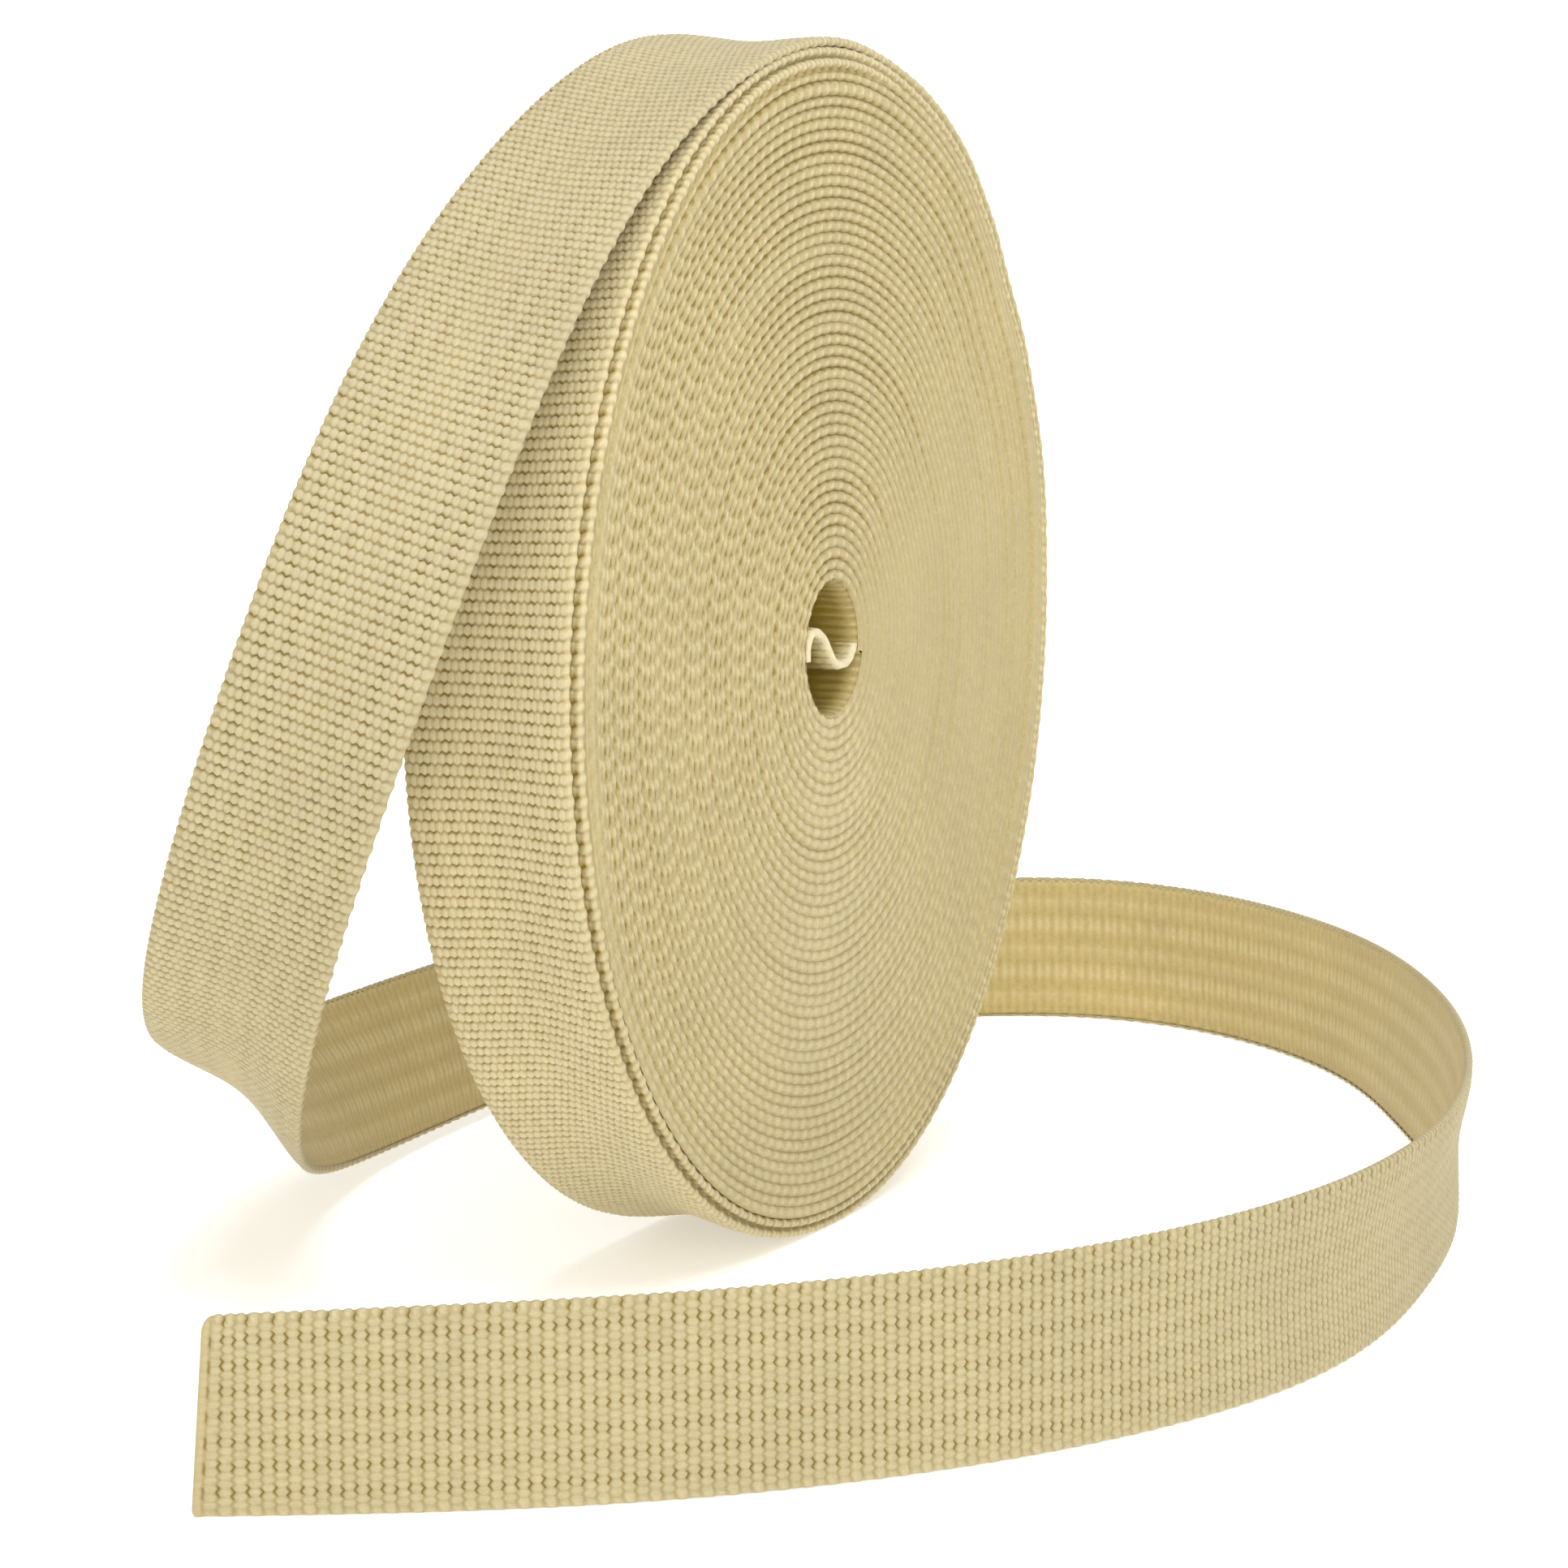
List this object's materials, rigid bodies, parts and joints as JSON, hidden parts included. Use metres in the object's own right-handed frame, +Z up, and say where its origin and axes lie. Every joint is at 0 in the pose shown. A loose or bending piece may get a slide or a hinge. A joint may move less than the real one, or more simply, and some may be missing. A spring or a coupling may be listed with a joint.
{
  "type": "roll of polypropylene webbing",
  "caption": "Roll of beige woven polypropylene webbing standing on its rim, with its outer end curling round it on the floor and its inner end crossing the open middle.",
  "frame": {"origin": "on the floor, in the middle of the flat spot on which the roll rests, under its axis", "axes": "+Z up; the roll's axis lies along X and the side that shows faces +X; the last turn goes over the top towards -Y"},
  "size_m": [0.1845, 0.3414, 0.1715],
  "materials": {
    "webbing": "woven polypropylene, matt with a faint sheen",
    "webbing_side": "edges of the wound turns, matt"
  },
  "bodies": {
    "root": {"roll": "webbing_side", "loose_end": "webbing", "core_end": "webbing"}
  },
  "joints": []
}
